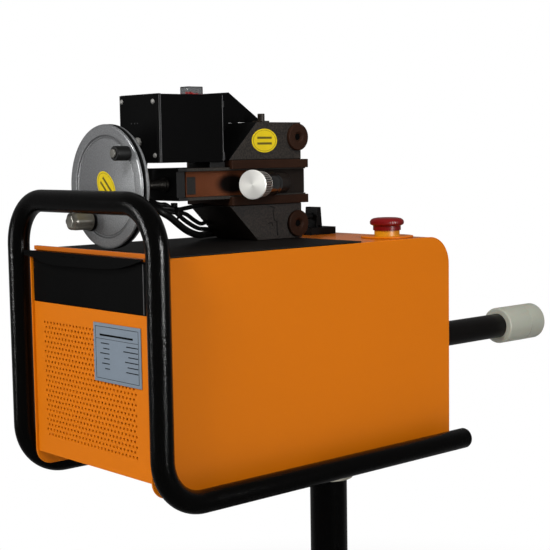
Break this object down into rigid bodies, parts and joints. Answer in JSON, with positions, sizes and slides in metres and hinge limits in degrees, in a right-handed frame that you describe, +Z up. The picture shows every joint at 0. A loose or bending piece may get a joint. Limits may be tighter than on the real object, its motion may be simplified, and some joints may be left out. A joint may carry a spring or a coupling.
{
  "type": "on-car brake disc lathe",
  "caption": "Sheet-metal drive unit in a tubular frame on a castor stand, with its disc-cutting head and handwheel parked on top",
  "frame": {"origin": "on the floor, under the middle of the whole machine's bounding box", "axes": "+X along the drive shaft away from the tube handle, +Y towards the far side panel, +Z up"},
  "size_m": [0.799, 0.48, 1.079],
  "materials": {
    "orange_paint": "glossy orange powder coat",
    "frame_black": "textured black powder coat",
    "satin_black": "satin black paint",
    "mat_black": "dull black mat",
    "cast_grey": "dark phosphated casting",
    "bronze_brown": "brown oxidised steel",
    "copper_brown": "copper-brown ground steel",
    "steel": "turned bare steel",
    "shaft_black": "black coated shaft",
    "silver_metal": "satin turned aluminium with bright rims",
    "zinc": "zinc plated pressing",
    "plate_silver": "printed silver plate",
    "nylon_white": "turned off-white nylon",
    "plastic_black": "black moulded plastic",
    "yellow_plastic": "yellow moulded plastic",
    "red_plastic": "red moulded plastic",
    "clear_plastic": "clear soft plastic hood",
    "rubber_black": "black rubber",
    "wheel_rubber": "dark grey tyre rubber"
  },
  "bodies": {
    "stand": {"base_frame": "frame_black", "column": "frame_black"},
    "clamp": {"clamp_knob": "rubber_black"},
    "castor_1": {"castor_fork_1": "zinc"},
    "castor_2": {"castor_fork_2": "zinc"},
    "castor_3": {"castor_fork_3": "zinc"},
    "castor_4": {"castor_fork_4": "zinc"},
    "roller_1": {"castor_wheel_1": "wheel_rubber"},
    "roller_2": {"castor_wheel_2": "wheel_rubber"},
    "roller_3": {"castor_wheel_3": "wheel_rubber"},
    "roller_4": {"castor_wheel_4": "wheel_rubber"},
    "mast": {"post": "frame_black"},
    "unit": {"carrier": "frame_black", "rail_near": "frame_black", "rail_far": "frame_black", "frame_hoop": "frame_black", "side_panel_near": "orange_paint", "side_panel_far": "orange_paint", "top_cover": "orange_paint", "top_mat": "mat_black", "end_panel": "orange_paint", "pocket_panel": "satin_black", "grip_guard": "satin_black", "bottom_tray": "orange_paint", "rating_plate": "plate_silver", "power_inlet": "plastic_black", "estop_base": "yellow_plastic", "gearbox": "cast_grey", "motor_body": "cast_grey", "shaft_flange": "cast_grey", "inverter": "plastic_black", "arm_upper": "cast_grey", "arm_lower": "cast_grey", "guide_bar_upper": "bronze_brown", "guide_bar_lower": "bronze_brown", "boss_upper": "bronze_brown", "boss_lower": "bronze_brown", "slide_housing": "cast_grey", "feed_box": "satin_black", "feed_motor": "steel", "tie_plate": "satin_black", "connector": "plastic_black", "head_cable": "rubber_black"},
    "stop_button": {"estop_head": "red_plastic"},
    "drive": {"drive_shaft": "shaft_black", "drive_gear": "steel", "shaft_sleeve": "nylon_white"},
    "rotor": {"motor_rotor": "steel"},
    "feed": {"feed_screw": "steel", "handwheel": "silver_metal"},
    "grip": {"wheel_grip": "plastic_black"},
    "clutch_knob": {"wheel_knob": "silver_metal"},
    "tool_slide": {"slide": "copper_brown"},
    "depth_near": {"depth_knob_near": "steel"},
    "depth_far": {"depth_knob_far": "steel"},
    "cutter_near": {"tool_near": "steel"},
    "cutter_far": {"tool_far": "steel"},
    "feed_output": {"feed_shaft": "steel"},
    "rocker": {"rocker_switch": "red_plastic"},
    "hood": {"rocker_cover": "clear_plastic"}
  },
  "joints": [
    {"name": "clamp_turn", "type": "hinge", "parent": "stand", "child": "clamp", "pos_m": [-0.0245, -0.07, 0.46336], "axis": [0, -1, 0], "range_deg": [0, 360]},
    {"name": "castor_1_swivel", "type": "hinge", "parent": "stand", "child": "castor_1", "pos_m": [-0.2245, -0.212, 0.09], "axis": [0, 0, 1], "continuous": true},
    {"name": "castor_2_swivel", "type": "hinge", "parent": "stand", "child": "castor_2", "pos_m": [-0.2245, 0.212, 0.09], "axis": [0, 0, 1], "continuous": true},
    {"name": "castor_3_swivel", "type": "hinge", "parent": "stand", "child": "castor_3", "pos_m": [0.1755, -0.212, 0.09], "axis": [0, 0, 1], "continuous": true},
    {"name": "castor_4_swivel", "type": "hinge", "parent": "stand", "child": "castor_4", "pos_m": [0.1755, 0.212, 0.09], "axis": [0, 0, 1], "continuous": true},
    {"name": "castor_1_roll", "type": "hinge", "parent": "castor_1", "child": "roller_1", "pos_m": [-0.2525, -0.212, 0.0375], "axis": [0, 1, 0], "continuous": true},
    {"name": "castor_2_roll", "type": "hinge", "parent": "castor_2", "child": "roller_2", "pos_m": [-0.2525, 0.212, 0.0375], "axis": [0, 1, 0], "continuous": true},
    {"name": "castor_3_roll", "type": "hinge", "parent": "castor_3", "child": "roller_3", "pos_m": [0.1475, -0.212, 0.0375], "axis": [0, 1, 0], "continuous": true},
    {"name": "castor_4_roll", "type": "hinge", "parent": "castor_4", "child": "roller_4", "pos_m": [0.1475, 0.212, 0.0375], "axis": [0, 1, 0], "continuous": true},
    {"name": "post_lift", "type": "slide", "parent": "stand", "child": "mast", "axis": [0, 0, 1], "range_m": [-0.05, 0.2]},
    {"name": "unit_swivel", "type": "hinge", "parent": "mast", "child": "unit", "pos_m": [-0.0245, 0, 0.6], "axis": [0, 0, 1], "continuous": true},
    {"name": "stop_press", "type": "slide", "parent": "unit", "child": "stop_button", "axis": [0, 0, -1], "range_m": [0, 0.004], "stiffness_N_per_m": 1500, "springref_m": -0.002},
    {"name": "drive_spin", "type": "hinge", "parent": "unit", "child": "drive", "pos_m": [0.2, 0, 0.7468], "axis": [1, 0, 0], "continuous": true},
    {"name": "motor_spin", "type": "hinge", "parent": "unit", "child": "rotor", "pos_m": [-0.1, 0, 0.8268], "axis": [1, 0, 0], "continuous": true},
    {"name": "handwheel_turn", "type": "hinge", "parent": "unit", "child": "feed", "pos_m": [-0.34, 0.0166, 0.9665], "axis": [1, 0, 0], "range_deg": [0, 9892]},
    {"name": "slide_feed", "type": "slide", "parent": "unit", "child": "tool_slide", "axis": [1, 0, 0], "range_m": [0, 0.055]},
    {"name": "grip_spin", "type": "hinge", "parent": "feed", "child": "grip", "pos_m": [-0.355, -0.0275, 1.003], "axis": [1, 0, 0], "continuous": true},
    {"name": "clutch_knob_turn", "type": "hinge", "parent": "feed", "child": "clutch_knob", "pos_m": [-0.36, 0.0461, 0.9287], "axis": [1, 0, 0], "range_deg": [0, 360]},
    {"name": "depth_near_turn", "type": "hinge", "parent": "tool_slide", "child": "depth_near", "pos_m": [-0.1045, -0.0044, 0.9646], "axis": [0.9135, 0.4067, 0], "range_deg": [-1430, 1070]},
    {"name": "depth_far_turn", "type": "hinge", "parent": "tool_slide", "child": "depth_far", "pos_m": [-0.1045, 0.0646, 0.9646], "axis": [0.9135, -0.4067, 0], "range_deg": [-1430, 1070]},
    {"name": "cutter_near_feed", "type": "slide", "parent": "tool_slide", "child": "cutter_near", "axis": [0.9135, 0.4067, 0], "range_m": [-0.004, 0.003]},
    {"name": "cutter_far_feed", "type": "slide", "parent": "tool_slide", "child": "cutter_far", "axis": [0.9135, -0.4067, 0], "range_m": [-0.004, 0.003]},
    {"name": "feed_output_spin", "type": "hinge", "parent": "unit", "child": "feed_output", "pos_m": [-0.29, 0.0254, 1.0149], "axis": [1, 0, 0], "continuous": true},
    {"name": "rocker_tip", "type": "hinge", "parent": "unit", "child": "rocker", "pos_m": [-0.2145, 0.02525, 1.0683], "axis": [0, -1, 0], "range_deg": [0, 16]},
    {"name": "hood_lift", "type": "hinge", "parent": "unit", "child": "hood", "pos_m": [-0.2035, 0.02525, 1.0686], "axis": [0, 1, 0], "range_deg": [0, 88]}
  ],
  "couplings": [
    {"joint": "motor_spin", "follows": "drive_spin", "ratio": -3},
    {"joint": "slide_feed", "follows": "handwheel_turn", "m_per_rad": 0.00031831},
    {"joint": "cutter_near_feed", "follows": "depth_near_turn", "m_per_rad": 0.00015915},
    {"joint": "cutter_far_feed", "follows": "depth_far_turn", "m_per_rad": 0.00015915}
  ]
}
